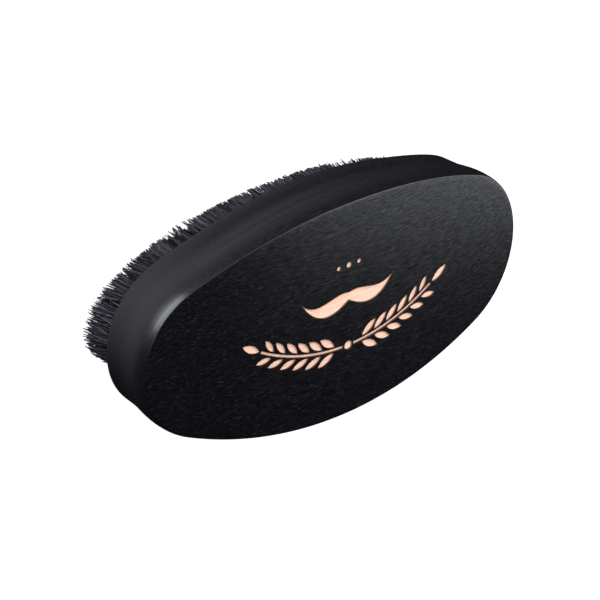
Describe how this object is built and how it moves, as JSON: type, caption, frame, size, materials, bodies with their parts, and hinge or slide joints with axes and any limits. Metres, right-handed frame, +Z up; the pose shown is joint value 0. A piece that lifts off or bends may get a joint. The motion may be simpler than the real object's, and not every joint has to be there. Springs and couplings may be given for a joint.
{
  "type": "beard brush",
  "caption": "Oval palm brush for a beard: a thick black-stained wooden block with a bowed, engraved face, a finger groove round its side and a dense field of short dark bristle tufts.",
  "frame": {"origin": "under the middle of the brush, on the surface that its bristle tips stand on", "axes": "+X along the length, +Y across the width, +Z up from the bristle tips to the bowed face"},
  "size_m": [0.116, 0.058, 0.0326],
  "materials": {
    "stained_wood": "black stain, satin, with a fine open grain and a bare engraved ornament",
    "bristle": "stiff black bristle",
    "anchor_wire": "flat drawn wire"
  },
  "bodies": {
    "root": {"block": "stained_wood", "tuft_row_01": "bristle", "tuft_row_02": "bristle", "tuft_row_03": "bristle", "tuft_row_04": "bristle", "tuft_row_05": "bristle", "tuft_row_06": "bristle", "tuft_row_07": "bristle", "tuft_row_08": "bristle", "tuft_row_09": "bristle", "tuft_row_10": "bristle", "tuft_row_11": "bristle", "tuft_row_12": "bristle", "tuft_row_13": "bristle", "tuft_row_14": "bristle", "tuft_row_15": "bristle", "tuft_row_16": "bristle", "tuft_row_17": "bristle", "tuft_row_18": "bristle", "tuft_row_19": "bristle", "tuft_row_20": "bristle", "anchor_row_01": "anchor_wire", "anchor_row_02": "anchor_wire", "anchor_row_03": "anchor_wire", "anchor_row_04": "anchor_wire", "anchor_row_05": "anchor_wire", "anchor_row_06": "anchor_wire", "anchor_row_07": "anchor_wire", "anchor_row_08": "anchor_wire", "anchor_row_09": "anchor_wire", "anchor_row_10": "anchor_wire", "anchor_row_11": "anchor_wire", "anchor_row_12": "anchor_wire", "anchor_row_13": "anchor_wire", "anchor_row_14": "anchor_wire", "anchor_row_15": "anchor_wire", "anchor_row_16": "anchor_wire", "anchor_row_17": "anchor_wire", "anchor_row_18": "anchor_wire", "anchor_row_19": "anchor_wire", "anchor_row_20": "anchor_wire"}
  },
  "joints": []
}
